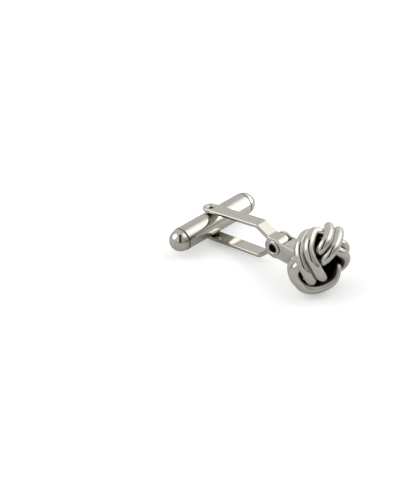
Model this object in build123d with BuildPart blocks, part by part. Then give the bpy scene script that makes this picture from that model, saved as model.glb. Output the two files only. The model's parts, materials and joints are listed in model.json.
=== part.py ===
"""Knot cufflink: a woven wire knot, a riveted swing arm and a toggle bar.

Millimetres, +Z up, resting on its knot and the tip of its lower arm. The knot faces -Y, the
arm runs towards +Y and the toggle bar lies along X. The origin is under the middle of it all.
"""
from build123d import *
from math import asin, atan2, cos, degrees, hypot, pi, radians, sin
import os

# Knot: two loops of doubled wire, the second turned a quarter round the first
knot_reach = 5.2
knot_depth = 2.4
knot_turn_angle = 7.0
knot_pitch_angle = 3.2
wire_diameter = 1.8
pair_pitch = 1.74
neck_width = 0.5
wire_sides = 12
loop_sections = 60

# Back of the knot: a domed plate and the forked lug that carries the arm
plate_radius = 3.7
plate_thickness = 0.8
plate_dome = 0.9
hinge_setback = 9.25
lug_drop = 1.5
ear_radius = 1.8
ear_thickness = 0.35
waist_height = 3.1
foot_height = 4.2
foot_flare = 1.4

# Swing arm: one strip folded back on itself round the hinge rivet
strip_width = 2.5
strip_thickness = 0.65
leg_length = 1.45
bend_setback = 3.87
bend_height = 6.2
tip_height = 5.72
bend_radius = 0.7
pivot_setback = 15.05
tip_reach = 1.5
edge_round = 0.1

# Hollow rivet of the hinge
rivet_radius = 0.9
rivet_bore = 0.72
rim_radius = 1.37
rim_height = 0.2

# Toggle bar and the pin that it turns on
toggle_length = 19.7
toggle_radius = 2.0
dome_radius = 1.9
shoulder_length = 0.25
groove_depth = 0.06
pin_radius = 0.55
pin_head_radius = 0.98
pin_head_depth = 0.36
pin_dish_depth = 0.14
pin_centre_radius = 0.2
pin_centre_depth = 0.3

# Clearances
running_clearance = 0.05
seat_clearance = 0.02
barrel_clearance = 0.25

# Shares of the sizes above
body_radius_share = 0.935
body_depth_share = 1.467
body_setback_share = 0.275
lug_sink_share = 0.9
flare_middle_share = 0.35
flare_rise_share = 0.28
rim_round_share = 0.45
pin_lip_share = 0.75
pin_mouth_share = 1.5
pin_floor_share = 0.4

# Half of one loop, seen from the front: bearing in degrees, reach as a share of knot_reach,
# and how far forward it lies as a share of knot_depth. The other half is turned half a circle.
loop_table = (
    (-87, 0.858, -0.983),
    (-66, 0.967, -0.725),
    (-48, 1.002, -0.400),
    (-35, 0.962, -0.029),
    (-18, 0.829, 0.404),
    (9, 0.685, 0.608),
    (33, 0.548, 0.350),
    (55, 0.500, -0.267),
    (76, 0.654, -0.812),
)

# The rounded body that the doubled wire lies flat on
body_radius = knot_reach * body_radius_share
body_depth = knot_depth * body_depth_share
body_setback = knot_depth * body_setback_share

# The knot leans forward a little, so its own back and up are turned from Y and Z
pitch = radians(knot_pitch_angle)
head_back = Vector(0, cos(pitch), sin(pitch))
head_up = Vector(0, -sin(pitch), cos(pitch))


def loop_edge(turn):
    # Middle line of a doubled wire round the knot's centre.
    points = []
    for half in (0, 180):
        for bearing, reach, depth in loop_table:
            angle = radians(bearing + half + turn)
            rise = head_up * (reach * knot_reach * sin(angle)) - head_back * (depth * knot_depth)
            points.append(Vector(reach * knot_reach * cos(angle), 0, 0) + rise)
    with BuildLine() as line:
        Spline(*points, periodic=True)
    return line.edges()[0]


def section_planes(edge):
    # Planes across a loop, their X along the line between its two wires.
    planes = []
    for number in range(loop_sections):
        place = edge @ (number / loop_sections)
        along = edge % (number / loop_sections)
        outward = (
            Vector(place.X / body_radius ** 2, 0, 0)
            + head_back * ((place.dot(head_back) - body_setback) / body_depth ** 2)
            + head_up * (place.dot(head_up) / body_radius ** 2)
        )
        planes.append(Plane(origin=place, x_dir=along.cross(outward).normalized(), z_dir=along))
    return planes


def pair_outline():
    # Two round wires side by side, joined at a neck of solder.
    corner_radius = wire_diameter / 2 / cos(pi / wire_sides)
    corners = []
    for side in range(1, wire_sides):
        angle = pi + side * 2 * pi / wire_sides
        corners.append((pair_pitch / 2 + corner_radius * cos(angle), corner_radius * sin(angle)))
    right = [(0, -neck_width / 2)] + corners
    return right + [(-x, -y) for x, y in right]


def shifted(plane, shift):
    return Plane(origin=plane.origin + shift, x_dir=plane.x_dir, z_dir=plane.z_dir)


outline = pair_outline()
loops = [section_planes(loop_edge(knot_turn_angle + turn)) for turn in (0, 90)]
corners = [plane.from_local_coords(Vector(x, y, 0)) for loop in loops for plane in loop for x, y in outline]
knot_below = -min(corner.Z for corner in corners)
knot_before = -min(corner.Y for corner in corners)
knot_behind = max(corner.dot(head_back) for corner in corners)
hinge_offset = head_back * hinge_setback - head_up * lug_drop

# The arm's tilt brings the tip of its lower strip down to the floor
hinge_height = knot_below + hinge_offset.Z
tip_setback = pivot_setback + tip_reach
taper = (bend_height - tip_height) / 2 / (pivot_setback - bend_setback)
tip_outer = tip_height / 2 - taper * tip_reach
arm_tilt = degrees(asin(hinge_height / hypot(tip_setback, tip_outer)) - atan2(tip_outer, tip_setback))
tilt = radians(arm_tilt)

# Length over all, from the knot's front to the toggle or the upper tip
arm_end = max(
    pivot_setback * cos(tilt) + toggle_radius,
    tip_setback * cos(tilt) + tip_outer * sin(tilt),
)
knot_centre = Vector(0, (knot_before - hinge_offset.Y - arm_end) / 2, knot_below)
hinge_centre = knot_centre + hinge_offset

# Planes through the hinge: the lug's side, and the arm's side and top, tilted with it
lug_side = Plane(origin=hinge_centre, x_dir=head_back, z_dir=(1, 0, 0))
arm_along = Vector(0, cos(tilt), -sin(tilt))
arm_up = Vector(0, sin(tilt), cos(tilt))
arm_side = Plane(origin=hinge_centre, x_dir=arm_along, z_dir=(1, 0, 0))
pivot_centre = hinge_centre + arm_along * pivot_setback
arm_top = Plane(origin=hinge_centre, x_dir=(1, 0, 0), z_dir=arm_up)
pivot_top = Plane(origin=pivot_centre, x_dir=(1, 0, 0), z_dir=arm_up)
pivot_side = Plane(origin=pivot_centre, x_dir=(1, 0, 0), z_dir=arm_along)

ear_inside = strip_width / 2 + running_clearance
ear_outside = ear_inside + ear_thickness
barrel_inside = rivet_radius + running_clearance
barrel_middle = barrel_inside + strip_thickness / 2
barrel_outside = barrel_inside + strip_thickness


def pair_span(planes):
    # A stretch of doubled wire lofted through its sections.
    with BuildPart() as span:
        for plane in planes:
            with BuildSketch(shifted(plane, knot_centre)):
                Polygon(*outline, align=None)
        loft(ruled=True, clean=False)
    return span.part


spans = []
for loop in loops:
    middle = loop_sections // 2
    spans.append(pair_span(loop[:middle + 1]))
    spans.append(pair_span(loop[middle:] + loop[:1]))

# The plate and the lug, soldered behind the knot
plate_back = knot_behind - wire_diameter / 2
plate_plane = Plane(origin=knot_centre, x_dir=(1, 0, 0), z_dir=head_up)
dome_curve = (plate_radius ** 2 + plate_dome ** 2) / 2 / plate_dome
lug_length = hinge_setback - (plate_back + plate_dome - lug_sink_share * plate_thickness)
slot_length = barrel_outside + barrel_clearance + ear_radius
flare_start = foot_flare - lug_length
flare_middle = flare_middle_share * foot_flare - lug_length
flare_height = waist_height + flare_rise_share * (foot_height - waist_height)
with BuildPart() as lug:
    with BuildSketch(plate_plane):
        with BuildLine():
            Line((0, plate_back + plate_dome - plate_thickness), (0, plate_back + plate_dome))
            RadiusArc((0, plate_back + plate_dome), (plate_radius, plate_back), dome_curve)
            Line((plate_radius, plate_back), (plate_radius, plate_back - plate_thickness))
            RadiusArc(
                (plate_radius, plate_back - plate_thickness),
                (0, plate_back + plate_dome - plate_thickness),
                -dome_curve,
            )
        make_face()
    revolve(axis=Axis(knot_centre, head_back))
    with BuildSketch(lug_side):
        Circle(ear_radius)
        with BuildLine():
            Line((0, waist_height / 2), (flare_start, waist_height / 2))
            ThreePointArc(
                (flare_start, waist_height / 2),
                (flare_middle, flare_height / 2),
                (-lug_length, foot_height / 2),
            )
            Line((-lug_length, foot_height / 2), (-lug_length, -foot_height / 2))
            ThreePointArc(
                (-lug_length, -foot_height / 2),
                (flare_middle, -flare_height / 2),
                (flare_start, -waist_height / 2),
            )
            Line((flare_start, -waist_height / 2), (0, -waist_height / 2))
            Line((0, -waist_height / 2), (0, waist_height / 2))
        make_face()
    extrude(amount=ear_outside, both=True)
    with BuildSketch(lug_side):
        with Locations((-barrel_outside - barrel_clearance, 0)):
            Rectangle(slot_length, ear_radius * 2, align=(Align.MIN, Align.CENTER))
    extrude(amount=ear_inside, both=True, mode=Mode.SUBTRACT)
    with BuildSketch(lug_side):
        Circle(rivet_radius + seat_clearance)
    extrude(amount=ear_outside, both=True, mode=Mode.SUBTRACT)

with BuildPart() as knot_head:
    add([*spans, lug.part], clean=False)

# Hollow rivet, its ends turned over the ears
rim_seat = ear_outside + seat_clearance
with BuildPart() as hinge_rivet:
    with BuildSketch(lug_side):
        Circle(rivet_radius)
    extrude(amount=rim_seat + rim_height, both=True)
    with BuildSketch(lug_side.offset(rim_seat), lug_side.offset(-rim_seat - rim_height)):
        Circle(rim_radius)
    extrude(amount=rim_height)
    with BuildSketch(lug_side):
        Circle(rivet_bore)
    extrude(amount=rim_seat + rim_height, both=True, mode=Mode.SUBTRACT)
    ends = hinge_rivet.edges().filter_by(GeomType.CIRCLE).group_by(Axis.X)
    fillet(ends[0] + ends[-1], rim_height * rim_round_share)

# Strip: round the rivet, out to the bends and on to the two tips
bend_middle = (bend_height - strip_thickness) / 2
tip_middle = tip_outer - strip_thickness * (0.5 + taper)
tip_axis = Axis(pivot_centre, arm_up)
pin_end = tip_height / 2
with BuildPart() as arm_frame:
    with BuildSketch(arm_side):
        with BuildLine():
            for up in (1, -1):
                FilletPolyline(
                    (0, up * barrel_middle),
                    (leg_length, up * barrel_middle),
                    (bend_setback, up * bend_middle),
                    (tip_setback + strip_thickness, up * tip_middle),
                    radius=bend_radius,
                )
            ThreePointArc((0, barrel_middle), (-barrel_middle, 0), (0, -barrel_middle))
        trace(line_width=strip_thickness)
    extrude(amount=strip_width / 2, both=True)
    with BuildSketch(arm_top):
        with Locations((0, tip_setback - strip_width / 2)):
            Circle(strip_width / 2)
            Rectangle(strip_width, tip_setback + barrel_outside, align=(Align.CENTER, Align.MAX))
    extrude(amount=bend_height, both=True, mode=Mode.INTERSECT)
    long_edges = arm_frame.edges().filter_by(Axis.X, reverse=True).filter_by(tip_axis, reverse=True)
    fillet(long_edges, edge_round)
    with BuildSketch(pivot_top):
        Circle(pin_radius + seat_clearance)
    extrude(amount=bend_height, both=True, mode=Mode.SUBTRACT)
    for up in (1, -1):
        with BuildSketch(pivot_side):
            with BuildLine():
                Polyline(
                    (0, up * (pin_end + strip_thickness)),
                    (pin_head_radius + seat_clearance, up * (pin_end + strip_thickness)),
                    (pin_head_radius + seat_clearance, up * pin_end),
                    (pin_radius + seat_clearance, up * (pin_end - pin_head_depth)),
                    (0, up * (pin_end - pin_head_depth)),
                    close=True,
                )
            make_face()
        revolve(axis=tip_axis, mode=Mode.SUBTRACT)

# Pin through both strips, spread into their countersinks and dished
with BuildPart() as swivel_pin:
    with BuildSketch(pivot_side):
        with BuildLine():
            Polyline(
                (0, 0),
                (pin_radius, 0),
                (pin_radius, pin_end - pin_head_depth),
                (pin_head_radius, pin_end),
                (pin_head_radius * pin_lip_share, pin_end),
                (pin_centre_radius * pin_mouth_share, pin_end - pin_dish_depth),
                (pin_centre_radius, pin_end - pin_dish_depth),
                (pin_centre_radius * pin_floor_share, pin_end - pin_centre_depth),
                (0, pin_end - pin_centre_depth),
                close=True,
            )
        make_face()
    revolve(axis=tip_axis)
    mirror(about=pivot_top)

# Toggle bar: a round rod with a groove, a shoulder and a dome at each end
dome_start = toggle_length / 2 - dome_radius
shoulder_start = dome_start - shoulder_length
with BuildPart() as toggle_bar:
    with BuildSketch(pivot_top):
        with BuildLine():
            Polyline(
                (0, 0),
                (0, toggle_radius),
                (shoulder_start - groove_depth, toggle_radius),
                (shoulder_start, toggle_radius - groove_depth),
                (shoulder_start + groove_depth, toggle_radius - groove_depth / 2),
                (dome_start, dome_radius),
            )
            RadiusArc((dome_start, dome_radius), (toggle_length / 2, 0), dome_radius)
            Line((toggle_length / 2, 0), (0, 0))
        make_face()
    revolve(axis=Axis(pivot_centre, (1, 0, 0)))
    mirror(about=Plane(origin=pivot_centre, z_dir=(1, 0, 0)))
    with BuildSketch(pivot_top):
        Circle(pin_radius + running_clearance)
    extrude(amount=toggle_radius, both=True, mode=Mode.SUBTRACT)

os.makedirs("parts", exist_ok=True)
pieces = {
    "knot_head": knot_head,
    "hinge_rivet": hinge_rivet,
    "arm_frame": arm_frame,
    "swivel_pin": swivel_pin,
    "toggle_bar": toggle_bar,
}
for name, piece in pieces.items():
    piece.part.label = name
    export_step(piece.part, f"parts/{name}.step")
    box = piece.part.bounding_box()
    print(f"{name}: {piece.part.volume:.2f} mm3, from {box.min} to {box.max}")
print(f"hinge at y {hinge_centre.Y:.4f} z {hinge_centre.Z:.4f}, arm tilt {arm_tilt:.3f} degrees")
print(f"pivot at y {pivot_centre.Y:.4f} z {pivot_centre.Z:.4f}")
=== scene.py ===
import bpy
import bmesh
import json
from math import atan2, cos, pi, radians, sin, tan
from mathutils import Matrix, Vector


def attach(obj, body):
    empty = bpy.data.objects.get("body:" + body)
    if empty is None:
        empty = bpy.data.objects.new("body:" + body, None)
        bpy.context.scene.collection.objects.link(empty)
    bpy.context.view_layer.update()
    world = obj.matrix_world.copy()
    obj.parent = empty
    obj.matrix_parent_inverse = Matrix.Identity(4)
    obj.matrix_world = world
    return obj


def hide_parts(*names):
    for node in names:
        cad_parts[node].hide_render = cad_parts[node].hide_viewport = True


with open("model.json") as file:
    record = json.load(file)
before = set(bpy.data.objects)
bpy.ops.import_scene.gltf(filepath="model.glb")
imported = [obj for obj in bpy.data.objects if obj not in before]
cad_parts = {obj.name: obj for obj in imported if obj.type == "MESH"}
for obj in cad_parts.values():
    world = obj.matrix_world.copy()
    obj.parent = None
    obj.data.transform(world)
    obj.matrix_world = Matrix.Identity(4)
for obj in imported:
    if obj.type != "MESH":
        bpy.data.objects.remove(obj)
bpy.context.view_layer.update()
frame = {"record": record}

mm = 0.001
print("frame loaded")

# places and directions that several pieces share; the joints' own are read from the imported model
joints = {joint["name"]: joint for joint in frame["record"]["behaviour"]["joints"]}
hinge = Vector(joints["arm_swing"]["pos_m"])
pivot = Vector(joints["toggle_swivel"]["pos_m"])
armUp = Vector(joints["toggle_swivel"]["axis"]).normalized()
armAlong = (pivot - hinge).normalized()
across = Vector((1, 0, 0))
knotPitch = radians(3.2)
headBack = Vector((0, cos(knotPitch), sin(knotPitch)))
headUp = Vector((0, -sin(knotPitch), cos(knotPitch)))
nearly = 0.998  # share of a half width, so that the two rounded corners of an end don't quite meet


def newObject(name, bm):
    mesh = bpy.data.meshes.new(name)
    bm.to_mesh(mesh)
    bm.free()
    obj = bpy.data.objects.new(name, mesh)
    bpy.context.scene.collection.objects.link(obj)
    return obj


def smooth(obj, angle=None):
    obj.data.shade_smooth()
    if angle:
        obj.data.set_sharp_from_angle(angle=radians(angle))


def applied(obj):
    # the mesh as its modifiers leave it
    graph = bpy.context.evaluated_depsgraph_get()
    mesh = bpy.data.meshes.new_from_object(obj.evaluated_get(graph))
    obj.modifiers.clear()
    obj.data = mesh
    return obj


def cutWith(obj, cutters):
    for cutter in cutters:
        cut = obj.modifiers.new("cut", "BOOLEAN")
        cut.operation = "DIFFERENCE"
        cut.solver = "EXACT"
        cut.object = cutter
        applied(obj)
        bpy.data.objects.remove(cutter)


def bevelled(obj, width):
    rim = obj.modifiers.new("rim", "BEVEL")
    rim.width = width * mm
    rim.segments = 3
    rim.limit_method = "ANGLE"
    rim.angle_limit = radians(35)
    return applied(obj)


def spun(name, profile, centre, axis, start, steps, closed=False):
    # profile rows are (along the axis, away from it) in mm, turned a full circle
    bm = bmesh.new()
    verts = [bm.verts.new(centre + axis * (along * mm) + start * (away * mm)) for along, away in profile]
    for one, two in zip(verts, verts[1:] + verts[:1] if closed else verts[1:]):
        bm.edges.new((one, two))
    bmesh.ops.spin(bm, geom=verts + bm.edges[:], cent=centre, axis=axis, dvec=(0, 0, 0), angle=2 * pi,
                   steps=steps, use_merge=True, use_duplicate=False)
    bmesh.ops.remove_doubles(bm, verts=bm.verts[:], dist=1e-7)
    bmesh.ops.recalc_face_normals(bm, faces=bm.faces[:])
    return newObject(name, bm)


def roundedLine(points, radii, steps=6):
    # a line of (across, up) points with its corners turned into arcs; radius 0 keeps a corner
    out = [points[0]]
    for before, here, after, radius in zip(points, points[1:], points[2:], radii[1:]):
        middle = Vector(here)
        one = (Vector(before) - middle).normalized()
        two = (Vector(after) - middle).normalized()
        half = one.angle(two) / 2
        if not radius or half > radians(89):
            out.append(here)
            continue
        centre = middle + (one + two).normalized() * (radius / sin(half))
        first = middle + one * (radius / tan(half)) - centre
        last = middle + two * (radius / tan(half)) - centre
        turn = atan2(first.x * last.y - first.y * last.x, first.dot(last))
        for k in range(steps + 1):
            out.append(tuple(centre + Matrix.Rotation(turn * k / steps, 2) @ first))
    return out + [points[-1]]


def combine(nodes, links, operation, one, two=0.0):
    # a math node; each side is a number or another node's output
    node = nodes.new("ShaderNodeMath")
    node.operation = operation
    for socket, value in zip(node.inputs, (one, two)):
        if isinstance(value, bpy.types.NodeSocket):
            links.new(value, socket)
        else:
            socket.default_value = value
    return node.outputs["Value"]


def ramped(nodes, links, value, start, end, low=0.0, high=1.0):
    # low at start, smoothly up to high at end
    ramp = nodes.new("ShaderNodeMapRange")
    ramp.interpolation_type = "SMOOTHSTEP"
    for name, number in (("From Min", start), ("From Max", end), ("To Min", low), ("To Max", high)):
        ramp.inputs[name].default_value = number
    links.new(value, ramp.inputs["Value"])
    return ramp.outputs["Result"]


# knot: two loops of doubled wire, each wire a round tube along its own smooth line
knot = {
    "reach": 5.2,
    "depth": 2.4,
    "turn": 7.0,
    "wire": 1.8,
    "pitch": 1.74,
    "setback": 9.25,
    "drop": 1.5,
    "bodyWide": 0.935,  # the rounded body under the wires, as shares of reach and depth
    "bodyDeep": 1.467,
    "bodyBack": 0.275,
    "stations": 300,
    "sides": 32,
    "half": (  # bearing in degrees, then distance from the axis and forwards, as shares of reach and depth
        (-87, 0.858, -0.983),
        (-66, 0.967, -0.725),
        (-48, 1.002, -0.400),
        (-35, 0.962, -0.029),
        (-18, 0.829, 0.404),
        (9, 0.685, 0.608),
        (33, 0.570, 0.380),
        (55, 0.540, -0.200),
        (76, 0.760, -0.850),
    ),
}
knotCentre = hinge - (headBack * knot["setback"] - headUp * knot["drop"]) * mm


def loopPoints(turn):
    # a whole loop round the knot's centre, as (right, back, up) in mm
    points = []
    for half in (0, 180):
        for bearing, reach, depth in knot["half"]:
            angle = radians(bearing + half + turn)
            away = reach * knot["reach"]
            points.append(Vector((away * cos(angle), -depth * knot["depth"], away * sin(angle))))
    return points


def closedSpline(points, count):
    # a smooth closed line through the points, sampled evenly by chord length
    total = len(points)
    gaps = [(points[(i + 1) % total] - points[i]).length for i in range(total)]
    slopes = [Vector() for _ in points]
    for _ in range(80):  # enough rounds for the slopes to settle
        for i in range(total):
            near, far = gaps[i - 1], gaps[i]
            ahead = points[(i + 1) % total] - points[i]
            behind = points[i] - points[i - 1]
            pull = (behind * (far / near) + ahead * (near / far)) * 3
            slopes[i] = (pull - slopes[i - 1] * far - slopes[(i + 1) % total] * near) / (2 * (near + far))
    line = []
    for k in range(count):
        left = sum(gaps) * k / count
        i = 0
        while left > gaps[i]:
            left -= gaps[i]
            i += 1
        t = left / gaps[i]
        j = (i + 1) % total
        line.append(
            points[i] * (2 * t**3 - 3 * t**2 + 1)
            + slopes[i] * (gaps[i] * (t**3 - 2 * t**2 + t))
            + points[j] * (3 * t**2 - 2 * t**3)
            + slopes[j] * (gaps[i] * (t**3 - t**2))
        )
    return line


def wirePair(turn):
    # the two wires lie side by side on a rounded body
    line = closedSpline(loopPoints(turn), knot["stations"])
    wide, deep = knot["reach"] * knot["bodyWide"], knot["depth"] * knot["bodyDeep"]
    behind = knot["depth"] * knot["bodyBack"]
    pair = ([], [])
    for i, place in enumerate(line):
        along = (line[(i + 1) % len(line)] - line[i - 1]).normalized()
        outward = Vector((place.x / wide**2, (place.y - behind) / deep**2, place.z / wide**2))
        side = along.cross(outward).normalized() * (knot["pitch"] / 2)
        pair[0].append(place - side)
        pair[1].append(place + side)
    return pair


def addTube(bm, line, radius, sides):
    # circles at each station, joined to the next; the sides stay square to the body's surface
    rings = []
    for i, place in enumerate(line):
        along = (line[(i + 1) % len(line)] - line[i - 1]).normalized()
        side = along.cross(Vector((place.x, place.y * 2, place.z))).normalized()
        turned = Matrix((side, along.cross(side), along)).transposed().to_4x4()
        turned.translation = place
        ring = bmesh.ops.create_circle(bm, cap_ends=False, segments=sides, radius=radius, matrix=turned)
        rings.append(ring["verts"])
    for one, two in zip(rings, rings[1:] + rings[:1]):
        for j in range(sides):
            k = (j + 1) % sides
            bm.faces.new((one[j], one[k], two[k], two[j]))


headFrame = Matrix((across, headBack, headUp)).transposed().to_4x4() @ Matrix.Scale(mm, 4)
headFrame.translation = knotCentre


def makeWires():
    bm = bmesh.new()
    for turn in (knot["turn"], knot["turn"] + 90):
        for line in wirePair(turn):
            addTube(bm, line, knot["wire"] / 2, knot["sides"])
    bmesh.ops.recalc_face_normals(bm, faces=bm.faces[:])
    bmesh.ops.transform(bm, matrix=headFrame, verts=bm.verts[:])
    wires = newObject("knotWires", bm)
    smooth(wires)
    return wires


# plate and lug behind the knot
lug = {
    "plateRadius": 4.35,
    "plateThick": 0.8,
    "plateDome": 0.9,
    "plateBack": 3.05,
    "earRadius": 1.8,
    "inside": 1.3,
    "outside": 1.65,
    "slotBack": 1.85,
    "waist": 1.55,
    "shoulder": (0.3, 1.0),  # where the ear narrows to the waist
    "foot": 2.1,
    "flare": 1.4,
    "flareRound": 0.9,
    "length": 6.0,
    "bore": 0.92,
    "edge": 0.09,
}


def makePlate():
    steps = 14
    radius, dome, thick = lug["plateRadius"], lug["plateDome"], lug["plateThick"]
    curve = (radius**2 + dome**2) / 2 / dome
    marks = [radius * k / steps for k in range(steps + 1)]
    profile = [(lug["plateBack"] + dome - curve + (curve**2 - away**2) ** 0.5, away) for away in marks]
    profile += [(along - thick, away) for along, away in reversed(profile)]
    plate = spun("backPlate", profile, knotCentre, headBack, headUp, 64)
    smooth(plate, 40)
    return plate


def makeLug():
    bm = bmesh.new()
    ear, waist, foot, end = lug["earRadius"], lug["waist"], lug["foot"], -lug["length"]
    first, last = lug["shoulder"]
    # the outline's upper half as (back, up), from the round end of the ears to the foot on the plate
    half = [(ear, ear), (-first, ear), (-last, waist), (end + lug["flare"], waist), (end, foot)]
    outline = half + [(y, -z) for y, z in reversed(half)]
    verts = [bm.verts.new((-lug["outside"], y, z)) for y, z in outline]
    bm.faces.new(verts)
    bmesh.ops.bevel(bm, geom=[verts[3], verts[6]], offset=lug["flareRound"], offset_type="OFFSET", segments=8,
                    profile=0.5, affect="VERTICES", material=-1)
    ends = [v for v in bm.verts if v.co.y > ear * 0.99]
    bmesh.ops.bevel(bm, geom=ends, offset=ear * nearly, offset_type="OFFSET", segments=24, profile=0.5,
                    affect="VERTICES", material=-1)
    bmesh.ops.recalc_face_normals(bm, faces=bm.faces[:])
    sheet = bmesh.ops.extrude_face_region(bm, geom=bm.faces[:])
    moved = [v for v in sheet["geom"] if isinstance(v, bmesh.types.BMVert)]
    bmesh.ops.translate(bm, verts=moved, vec=(2 * lug["outside"], 0, 0))
    bmesh.ops.recalc_face_normals(bm, faces=bm.faces[:])
    turned = Matrix((across, headBack, headUp)).transposed().to_4x4() @ Matrix.Scale(mm, 4)
    turned.translation = hinge
    bmesh.ops.transform(bm, matrix=turned, verts=bm.verts[:])
    body = newObject("hingeLug", bm)
    slot = bmesh.new()
    reach = lug["slotBack"] + lug["earRadius"] * 2
    bmesh.ops.create_cube(slot, size=1)
    bmesh.ops.scale(slot, vec=(2 * lug["inside"], reach, 4 * lug["earRadius"]), verts=slot.verts[:])
    bmesh.ops.translate(slot, vec=(0, reach / 2 - lug["slotBack"], 0), verts=slot.verts[:])
    bmesh.ops.transform(slot, matrix=turned, verts=slot.verts[:])
    wide = lug["outside"] * 2
    bore = [(-wide, 0), (-wide, lug["bore"]), (wide, lug["bore"]), (wide, 0)]
    cutWith(body, [newObject("slotCutter", slot), spun("boreCutter", bore, hinge, across, headUp, 48)])
    bevelled(body, lug["edge"])
    smooth(body, 50)
    return body


def joined(name, objects):
    bm = bmesh.new()
    for obj in objects:
        bm.from_mesh(obj.data)
    whole = newObject(name, bm)
    for obj in objects:
        bpy.data.objects.remove(obj)
    return whole


knotHead = joined("knotHead", [makeWires(), makePlate(), makeLug()])
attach(knotHead, "head")
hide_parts("knot_head")
print("knot and lug made")


# hollow rivet with rolled ends
rivet = {"radius": 0.9, "bore": 0.72, "seat": 1.67, "rim": 1.37, "rise": 0.2}


def makeRivet():
    # half the profile, out along the bore, round the rolled end and back along the shank
    bore, seat, rim, top = rivet["bore"], rivet["seat"], rivet["rim"], rivet["seat"] + rivet["rise"]
    side = [(0, bore), (seat - 0.1, bore), (seat + 0.06, bore + 0.03), (top - 0.03, bore + 0.14),
            (top, (bore + rim) / 2), (top - 0.03, rim - 0.12), (seat + 0.1, rim - 0.01), (seat, rim - 0.02),
            (seat, rivet["radius"]), (0, rivet["radius"])]
    side = roundedLine(side, [0, 0, 0.1, 0.1, 0.2, 0.08, 0.04, 0, 0, 0], 4)
    profile = side + [(-along, away) for along, away in reversed(side)]
    obj = spun("hingeRivet", profile, hinge, across, armUp, 64, closed=True)
    smooth(obj, 60)
    return obj


hingeRivet = makeRivet()
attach(hingeRivet, "head")
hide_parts("hinge_rivet")


# swing arm: a flat strip with round ends, bent round the rivet and out at two places
strip = {
    "width": 2.5,
    "thick": 0.65,
    "barrel": 0.95,
    "leg": 1.45,
    "bend": (3.87, 3.1),
    "tip": 2.86,
    "pivot": 15.05,
    "reach": 1.5,
    "bendRadius": 0.7,
    "edge": 0.22,
}
pin = {"radius": 0.55, "head": 0.98, "headDepth": 0.36, "dish": 0.2, "eye": 0.32, "eyeDepth": 0.4, "gap": 0.02}


def stripLine():
    # middle line from the back of the barrel round and out to a tip, as (along, up) in mm
    middle = strip["barrel"] + strip["thick"] / 2
    bend, spread = strip["bend"]
    taper = (spread - strip["tip"]) / (strip["pivot"] - bend)
    end = strip["pivot"] + strip["reach"]
    tip = strip["tip"] - taper * strip["reach"] - strip["thick"] / 2
    quarter = [(-middle * cos(k * pi / 40), middle * sin(k * pi / 40)) for k in range(20)]  # of the barrel
    out = [(0, middle), (strip["leg"], middle), (bend, spread - strip["thick"] / 2), (end, tip)]
    return quarter + roundedLine(out, [0, strip["bendRadius"], strip["bendRadius"], 0], 8)


def makeStrip():
    line = [Vector(point) for point in stripLine()]
    marks = [0.0]
    for one, two in zip(line, line[1:]):
        marks.append(marks[-1] + (two - one).length)
    length = marks[-1]
    bm = bmesh.new()
    bmesh.ops.create_grid(bm, x_segments=1, y_segments=1, size=0.5)
    bmesh.ops.scale(bm, vec=(strip["width"], 2 * length, 1), verts=bm.verts[:])
    bmesh.ops.bevel(bm, geom=bm.verts[:], offset=strip["width"] / 2 * nearly, offset_type="OFFSET",
                    segments=20, profile=0.5, affect="VERTICES", material=-1)
    bmesh.ops.remove_doubles(bm, verts=bm.verts[:], dist=0.004)
    bmesh.ops.translate(bm, vec=(0, 0, -strip["thick"] / 2), verts=bm.verts[:])
    thick = bmesh.ops.extrude_face_region(bm, geom=bm.faces[:])
    moved = [v for v in thick["geom"] if isinstance(v, bmesh.types.BMVert)]
    bmesh.ops.translate(bm, verts=moved, vec=(0, 0, strip["thick"]))
    bmesh.ops.recalc_face_normals(bm, faces=bm.faces[:])
    rims = [e for e in bm.edges if abs(e.verts[0].co.z - e.verts[1].co.z) < 1e-6]
    bmesh.ops.bevel(bm, geom=rims, offset=strip["edge"], offset_type="OFFSET", segments=6, profile=0.5,
                    affect="EDGES", material=-1)
    for mark in sorted({round(m, 4) for m in marks[:-1]}):
        for sign in (-1, 1):
            bmesh.ops.bisect_plane(bm, geom=bm.verts[:] + bm.edges[:] + bm.faces[:], dist=1e-5,
                                   plane_co=(0, sign * mark, 0), plane_no=(0, 1, 0))
    for vert in bm.verts:
        s, up = abs(vert.co.y), 1 if vert.co.y >= 0 else -1
        i = max(k for k in range(len(marks) - 1) if marks[k] <= s + 1e-9)
        step = (line[i + 1] - line[i]) / (marks[i + 1] - marks[i])
        if i and s - marks[i] < 1e-4:
            step = (step + (line[i] - line[i - 1]) / (marks[i] - marks[i - 1])) / 2
        if i == 0 and s < 1e-4:
            step = Vector((0, 1))
        place = line[i] + (line[i + 1] - line[i]).normalized() * (s - marks[i])
        outside = Vector((-step.y, step.x)).normalized()
        point = place + outside * vert.co.z
        vert.co = hinge + (across * vert.co.x + armAlong * point.x + armUp * (up * point.y)) * mm
    bmesh.ops.recalc_face_normals(bm, faces=bm.faces[:])
    body = newObject("armStrip", bm)
    head, shank, deep = pin["head"] + pin["gap"], pin["radius"] + pin["gap"], pin["headDepth"]
    start, past = 0.5, strip["tip"] + 1  # from the room between the legs to well outside them
    cutters = []
    for up in (1, -1):
        cone = [(start, 0), (start, shank), (strip["tip"] - deep, shank), (strip["tip"], head)]
        cone += [(past, head), (past, 0)]
        cutters.append(spun("sinkCutter", cone, pivot, armUp * up, across, 48))
    cutWith(body, cutters)
    smooth(body, 25)
    even = body.modifiers.new("even", "WEIGHTED_NORMAL")
    even.keep_sharp = True
    even.weight = 80
    applied(body)
    return body


armStrip = makeStrip()
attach(armStrip, "arm")
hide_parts("arm_frame")


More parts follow.
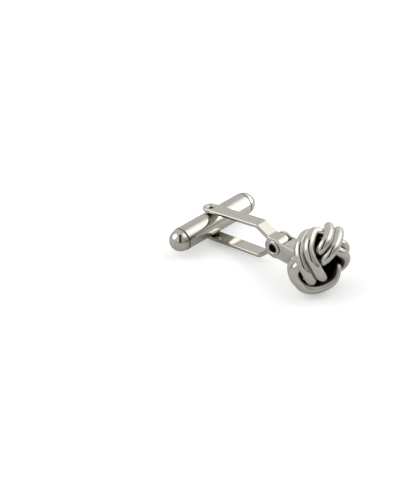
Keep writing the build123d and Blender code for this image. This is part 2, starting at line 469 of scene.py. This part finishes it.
def makePin():
    # half the profile, from the middle of the shank over the spread head into its dish and eye
    top = strip["tip"] - pin["gap"]
    half = [(0, pin["radius"]), (top - pin["headDepth"], pin["radius"]), (top - 0.03, pin["head"] - 0.02),
            (top, pin["head"] - 0.06), (top, pin["head"] * 0.8), (top - pin["dish"], pin["eye"] * 1.5),
            (top - pin["dish"], pin["eye"]), (top - pin["eyeDepth"], pin["eye"] * 0.6), (top - pin["eyeDepth"], 0)]
    half = roundedLine(half, [0, 0, 0, 0, 0.2, 0.1, 0.03, 0.05, 0], 4)
    profile = [(-along, away) for along, away in reversed(half)] + half[1:]
    obj = spun("swivelPin", profile, pivot, armUp, across, 56)
    smooth(obj, 60)
    return obj


swivelPin = makePin()
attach(swivelPin, "arm")
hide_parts("swivel_pin")
print("arm, rivet and pin made")


# toggle bar
toggle = {"half": 9.85, "radius": 2.0, "dome": 1.9, "shoulder": 0.25, "groove": 0.12, "lip": 0.35, "bore": 0.6}


def makeToggle():
    domeAt = toggle["half"] - toggle["dome"]
    grooveAt = domeAt - toggle["shoulder"]
    radius, groove = toggle["radius"], toggle["groove"]
    half = [(0, radius), (grooveAt - groove, radius), (grooveAt, radius - groove),
            (grooveAt + groove, radius - groove * toggle["lip"]), (domeAt, toggle["dome"])]
    half = roundedLine(half, [0, 0.05, 0.03, 0.06, 0], 3)
    half += [(domeAt + toggle["dome"] * sin(k * pi / 40), toggle["dome"] * cos(k * pi / 40)) for k in range(1, 21)]
    profile = [(-along, away) for along, away in reversed(half)] + half[1:]
    obj = spun("toggleBar", profile, pivot, across, armUp, 96)
    past = radius * 1.5
    bore = [(-past, 0), (-past, toggle["bore"]), (past, toggle["bore"]), (past, 0)]
    cutWith(obj, [spun("boreCutter", bore, pivot, armUp, across, 48)])
    smooth(obj, 30)
    return obj


toggleBar = makeToggle()
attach(toggleBar, "toggle")
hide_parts("toggle_bar")
print("toggle bar made")


# polished metal: faint smudges, fine scratches, and painted shade that darkens recesses in the colour
def buildPolish():
    group = bpy.data.node_groups.new("polish", "ShaderNodeTree")
    for name, kind, value in (
        ("Bright", "NodeSocketColor", (0.55, 0.54, 0.51, 1)),
        ("DullAndShade", "NodeSocketColor", (0.035, 0.033, 0.027, 1)),
        ("PaintedShade", "NodeSocketFloat", 0.0),
        ("Smudge", "NodeSocketFloat", 0.05),
        ("Scratch", "NodeSocketFloat", 0.05),
        ("Roughness", "NodeSocketFloat", 0.06),
    ):
        socket = group.interface.new_socket(name=name, in_out="INPUT", socket_type=kind)
        socket.default_value = value
    for name, kind in (("Color", "Color"), ("Roughness", "Float"), ("Height", "Float")):
        group.interface.new_socket(name=name, in_out="OUTPUT", socket_type="NodeSocket" + kind)
    nodes, links = group.nodes, group.links
    given, out = nodes.new("NodeGroupInput"), nodes.new("NodeGroupOutput")
    place = nodes.new("ShaderNodeTexCoord")

    def noise(scale, detail, stretch=(1, 1, 1)):
        mapping = nodes.new("ShaderNodeMapping")
        mapping.inputs["Scale"].default_value = stretch
        texture = nodes.new("ShaderNodeTexNoise")
        texture.inputs["Scale"].default_value = scale
        texture.inputs["Detail"].default_value = detail
        links.new(place.outputs["Object"], mapping.inputs["Vector"])
        links.new(mapping.outputs["Vector"], texture.inputs["Vector"])
        return texture.outputs["Fac"]

    def math(operation, one, two=0.0):
        return combine(nodes, links, operation, one, two)

    smudge = math("MULTIPLY", math("SUBTRACT", noise(scale=420, detail=3), 0.5), given.outputs["Smudge"])
    scratch = math("SUBTRACT", noise(scale=2600, detail=2, stretch=(1, 0.12, 1)), 0.5)
    crossing = math("SUBTRACT", noise(scale=2100, detail=2, stretch=(0.15, 1, 1)), 0.5)
    fine = math("MULTIPLY", math("ADD", scratch, crossing), given.outputs["Scratch"])
    # the dark colour serves both the faint real smudges and the painted shade of recesses
    darkened = nodes.new("ShaderNodeMix")
    darkened.data_type = "RGBA"
    links.new(math("ADD", given.outputs["PaintedShade"], smudge), darkened.inputs["Factor"])
    links.new(given.outputs["Bright"], darkened.inputs[6])
    links.new(given.outputs["DullAndShade"], darkened.inputs[7])
    links.new(darkened.outputs[2], out.inputs["Color"])
    rough = math("ADD", given.outputs["Roughness"], math("MULTIPLY", math("ABSOLUTE", smudge), 1.2))
    rough = math("ADD", rough, math("MULTIPLY", given.outputs["PaintedShade"], 0.25))
    links.new(rough, out.inputs["Roughness"])
    links.new(fine, out.inputs["Height"])
    return group


polish = buildPolish()


def metal(name, bright, shadeMask=None, **values):
    material = bpy.data.materials.new(name)
    material.use_nodes = True
    nodes, links = material.node_tree.nodes, material.node_tree.links
    shader = nodes["Principled BSDF"]
    shader.inputs["Metallic"].default_value = 1
    finish = nodes.new("ShaderNodeGroup")
    finish.node_tree = polish
    finish.inputs["Bright"].default_value = (*bright, 1)
    for key, value in values.items():
        finish.inputs[key.capitalize()].default_value = value
    # painted shade: the mask darkens the colour where shade falls
    if shadeMask:
        links.new(shadeMask(nodes, links), finish.inputs["PaintedShade"])
    bump = nodes.new("ShaderNodeBump")
    bump.inputs["Strength"].default_value = 0.08
    bump.inputs["Distance"].default_value = 0.00001
    links.new(finish.outputs["Height"], bump.inputs["Height"])
    links.new(finish.outputs["Color"], shader.inputs["Base Color"])
    links.new(finish.outputs["Roughness"], shader.inputs["Roughness"])
    links.new(bump.outputs["Normal"], shader.inputs["Normal"])
    return material


# places darkened with painted shade: reach in metres (1 is without end), and the two shares of it between which it
# fades
shadeMarks = {
    "bore": {"reach": (1, 0.00075, 0.00075), "fade": (1.12, 0.95), "most": 0.88},
    "eye": {"reach": (0.0004, 0.0004, 1), "fade": (1.3, 0.8)},
    "shank": {"reach": (1, 1, 0.0023), "fade": (1.05, 0.95)},
    "hollow": {"reach": (0.0052, 0.0038, 0.0052), "back": 0.0006, "fade": (0.84, 0.7)},
    "flank": {"facing": (0.3, -0.1), "fade": (1.0, 0.93)},
    "groove": {"fade": (0.00018, 0.00008), "most": 0.9},  # in metres from the groove's plane
}


def ellipsoid(nodes, links, place, turn, reach):
    # the Object coordinates as shares of an ellipsoid's reach
    texture = nodes.new("ShaderNodeTexCoord")
    mapping = nodes.new("ShaderNodeMapping")
    mapping.vector_type = "TEXTURE"
    mapping.inputs["Location"].default_value = place
    mapping.inputs["Rotation"].default_value = turn
    mapping.inputs["Scale"].default_value = reach
    length = nodes.new("ShaderNodeVectorMath")
    length.operation = "LENGTH"
    links.new(texture.outputs["Object"], mapping.inputs["Vector"])
    links.new(mapping.outputs["Vector"], length.inputs[0])
    return length.outputs["Value"]


# painted shade: the rivet's bore is darkened in the colour
def boreShade(nodes, links):
    bore = shadeMarks["bore"]
    share = ellipsoid(nodes, links, hinge, (0, 0, 0), bore["reach"])
    return ramped(nodes, links, share, *bore["fade"], high=bore["most"])


def dimpleShade(nodes, links):
    # painted shade in the eye of each head, and on the shank where it crosses from strip to bar
    turn = (atan2(armAlong.z, armAlong.y), 0, 0)
    eye, shank = shadeMarks["eye"], shadeMarks["shank"]
    eye = ramped(nodes, links, ellipsoid(nodes, links, pivot, turn, eye["reach"]), *eye["fade"])
    shank = ramped(nodes, links, ellipsoid(nodes, links, pivot, turn, shank["reach"]), *shank["fade"])
    return combine(nodes, links, "MAXIMUM", eye, shank)


def knotShade(nodes, links):
    # painted shade: the hollow middle and the flanks that face inwards are darkened in the colour, where shade
    # falls
    hollow, flank = shadeMarks["hollow"], shadeMarks["flank"]
    depth = ellipsoid(nodes, links, knotCentre + headBack * hollow["back"], (knotPitch, 0, 0), hollow["reach"])
    texture = nodes.new("ShaderNodeTexCoord")
    away = nodes.new("ShaderNodeVectorMath")
    away.operation = "SUBTRACT"
    away.inputs[1].default_value = knotCentre
    outward = nodes.new("ShaderNodeVectorMath")
    outward.operation = "NORMALIZE"
    facing = nodes.new("ShaderNodeVectorMath")
    facing.operation = "DOT_PRODUCT"
    links.new(texture.outputs["Object"], away.inputs[0])
    links.new(away.outputs["Vector"], outward.inputs[0])
    links.new(outward.outputs["Vector"], facing.inputs[0])
    links.new(texture.outputs["Normal"], facing.inputs[1])
    inward = ramped(nodes, links, facing.outputs["Value"], *flank["facing"])
    inward = combine(nodes, links, "MULTIPLY", inward, ramped(nodes, links, depth, *flank["fade"]))
    return combine(nodes, links, "MAXIMUM", inward, ramped(nodes, links, depth, *hollow["fade"]))


def grooveShade(nodes, links):
    # painted shade in the two turned grooves of the toggle, by distance from their planes
    texture = nodes.new("ShaderNodeTexCoord")
    split = nodes.new("ShaderNodeSeparateXYZ")
    links.new(texture.outputs["Object"], split.inputs["Vector"])
    grooveAt = (toggle["half"] - toggle["dome"] - toggle["shoulder"]) * mm
    away = combine(nodes, links, "SUBTRACT", combine(nodes, links, "ABSOLUTE", split.outputs["X"]), grooveAt)
    groove = shadeMarks["groove"]
    return ramped(nodes, links, combine(nodes, links, "ABSOLUTE", away), *groove["fade"], high=groove["most"])


# painted light: one silver, with a brighter copy on the knot for stronger highlights and a darker copy on the
# toggle for a weaker highlight
silver = (0.48, 0.465, 0.418)
litSilver = (0.51, 0.494, 0.446)
shadedSilver = (0.462, 0.448, 0.403)
for obj, material in (
    (knotHead, metal("knotSilver", litSilver, knotShade, roughness=0.055, smudge=0.08, scratch=0.6)),
    (hingeRivet, metal("rivetSilver", silver, boreShade, roughness=0.1, smudge=0.1, scratch=0.8)),
    (armStrip, metal("stripSilver", silver, roughness=0.08, smudge=0.06, scratch=0.6)),
    (swivelPin, metal("pinSilver", silver, dimpleShade, roughness=0.12, smudge=0.1, scratch=0.8)),
    (toggleBar, metal("toggleSilver", shadedSilver, grooveShade, roughness=0.12, smudge=0.06, scratch=0.6)),
):
    obj.data.materials.clear()
    obj.data.materials.append(material)
print("metals made")


# floor, lights and camera
shot = {
    "azimuth": -47.3,
    "elevation": 32.4,
    "scale": 6.05,  # pixels to a millimetre at the object
    "place": (269.2, 238.6),  # pixel of the point below, in a frame of 400 by 500
    "point": (0, 0, 0.005),
    "frame": (400, 500),
    "distance": 0.4,
}
azimuth, elevation = radians(shot["azimuth"]), radians(shot["elevation"])
back = Vector((sin(azimuth) * cos(elevation), -cos(azimuth) * cos(elevation), sin(elevation)))
right = Vector((cos(azimuth), sin(azimuth), 0))
up = back.cross(right)


def addCamera():
    camera = bpy.data.objects.new("camera", bpy.data.cameras.new("camera"))
    bpy.context.scene.collection.objects.link(camera)
    wide, high = shot["frame"]
    pixel = mm / shot["scale"]
    aim = Vector(shot["point"]) + right * ((wide / 2 - shot["place"][0]) * pixel)
    aim += up * ((shot["place"][1] - high / 2) * pixel)
    turned = Matrix((right, up, back)).transposed().to_4x4()
    camera.matrix_world = Matrix.Translation(aim + back * shot["distance"]) @ turned
    camera.data.sensor_fit = "HORIZONTAL"
    camera.data.sensor_width = 36
    camera.data.lens = camera.data.sensor_width * shot["distance"] / (wide * pixel)
    camera.data.clip_start = 0.01
    camera.data.clip_end = 10
    bpy.context.scene.camera = camera


sheet = {"half": 1.5, "tone": 0.7, "roughness": 0.6, "specular": 0.2, "lift": 0.38}


def addFloor():
    bm = bmesh.new()
    bmesh.ops.create_grid(bm, x_segments=1, y_segments=1, size=sheet["half"])
    floor = newObject("floor", bm)
    material = bpy.data.materials.new("paleFloor")
    material.use_nodes = True
    nodes, links = material.node_tree.nodes, material.node_tree.links
    shader = nodes["Principled BSDF"]
    shader.inputs["Base Color"].default_value = (*[sheet["tone"]] * 3, 1)
    shader.inputs["Roughness"].default_value = sheet["roughness"]
    shader.inputs["Specular IOR Level"].default_value = sheet["specular"]
    shader.inputs["Emission Color"].default_value = (1, 1, 1, 1)
    seen = nodes.new("ShaderNodeLightPath")  # lifts the sheet to white where it is looked at directly
    lift = combine(nodes, links, "MULTIPLY", seen.outputs["Is Camera Ray"], sheet["lift"])
    links.new(lift, shader.inputs["Emission Strength"])
    floor.data.materials.append(material)


# the light tent, by bearing from the camera's side (+ to the right) and height, in degrees
studio = {
    "walls": 0.9,
    "horizon": 0.6,
    "panels": (  # bearing, height, core, edge, strength
        (111, 41, 5, 36, 1.12),
        (-90, 36, 12, 32, 1.75),
        (145, 12, 5, 35, 0.55),
        (80, 50, 4, 28, 0.5),
        (52, 16, 12, 44, -0.4),
    ),
    "rise": (-0.02, 0.22),  # between these the walls brighten upwards
    "gap": (0.17, 0.25),  # half width of the dark slit that the camera looks through
    "gapDepth": 0.95,
    "front": (-0.1, 0.15),  # the slit is on the camera's side alone
    "card": {
        "towards": (0.66, -0.62, 0.42),
        "distance": 0.022,
        "size": (0.014, 0.02),
        "spread": 100,
        "radiance": 1.0,
    },
}


def towards(bearing, height):
    turn, lift = azimuth + radians(bearing), radians(height)
    return Vector((sin(turn) * cos(lift), -cos(turn) * cos(lift), sin(lift)))


def addWorld():
    world = bpy.data.worlds.new("studio")
    bpy.context.scene.world = world
    world.use_nodes = True
    nodes, links = world.node_tree.nodes, world.node_tree.links
    place = nodes.new("ShaderNodeTexCoord")

    def facing(axis, start, end, low, high):
        dot = nodes.new("ShaderNodeVectorMath")
        dot.operation = "DOT_PRODUCT"
        dot.inputs[1].default_value = axis
        links.new(place.outputs["Generated"], dot.inputs[0])
        return ramped(nodes, links, dot.outputs["Value"], start, end, low, high)

    def math(operation, one, two):
        return combine(nodes, links, operation, one, two)

    light = math("ADD", facing(Vector((0, 0, 1)), *studio["rise"], 0, 1 - studio["horizon"]), studio["horizon"])
    light = math("MULTIPLY", light, studio["walls"])
    for bearing, height, core, edge, strength in studio["panels"]:
        spot = facing(towards(bearing, height), cos(radians(edge)), cos(radians(core)), 0, strength)
        light = math("ADD", light, spot)
    inner, outer = studio["gap"]
    slit = math("MULTIPLY", facing(right, -outer, -inner, 0, 1), facing(right, inner, outer, 1, 0))
    slit = math("MULTIPLY", slit, facing(towards(0, 0), *studio["front"], 0, studio["gapDepth"]))
    light = math("MULTIPLY", light, math("SUBTRACT", 1.0, slit))
    seen = nodes.new("ShaderNodeLightPath")
    light = math("MAXIMUM", light, seen.outputs["Is Camera Ray"])
    nodes["Background"].inputs["Color"].default_value = (1, 1, 1, 1)
    links.new(light, nodes["Background"].inputs["Strength"])


def addCard():
    # a small soft light close to the toggle's far end
    card = studio["card"]
    light = bpy.data.lights.new("card", "AREA")
    light.shape = "RECTANGLE"
    light.size, light.size_y = card["size"]
    light.spread = radians(card["spread"])
    light.energy = card["radiance"] * pi * light.size * light.size_y
    lamp = bpy.data.objects.new("card", light)
    bpy.context.scene.collection.objects.link(lamp)
    facing = Vector(card["towards"]).normalized()
    lamp.location = pivot + across * ((toggle["half"] - toggle["dome"]) * mm) + facing * card["distance"]
    lamp.rotation_euler = facing.to_track_quat("Z", "Y").to_euler()
    lamp.visible_camera = False


addCamera()
addCard()
addFloor()
addWorld()
bpy.context.scene.view_settings.view_transform = "Standard"
print("stage set")
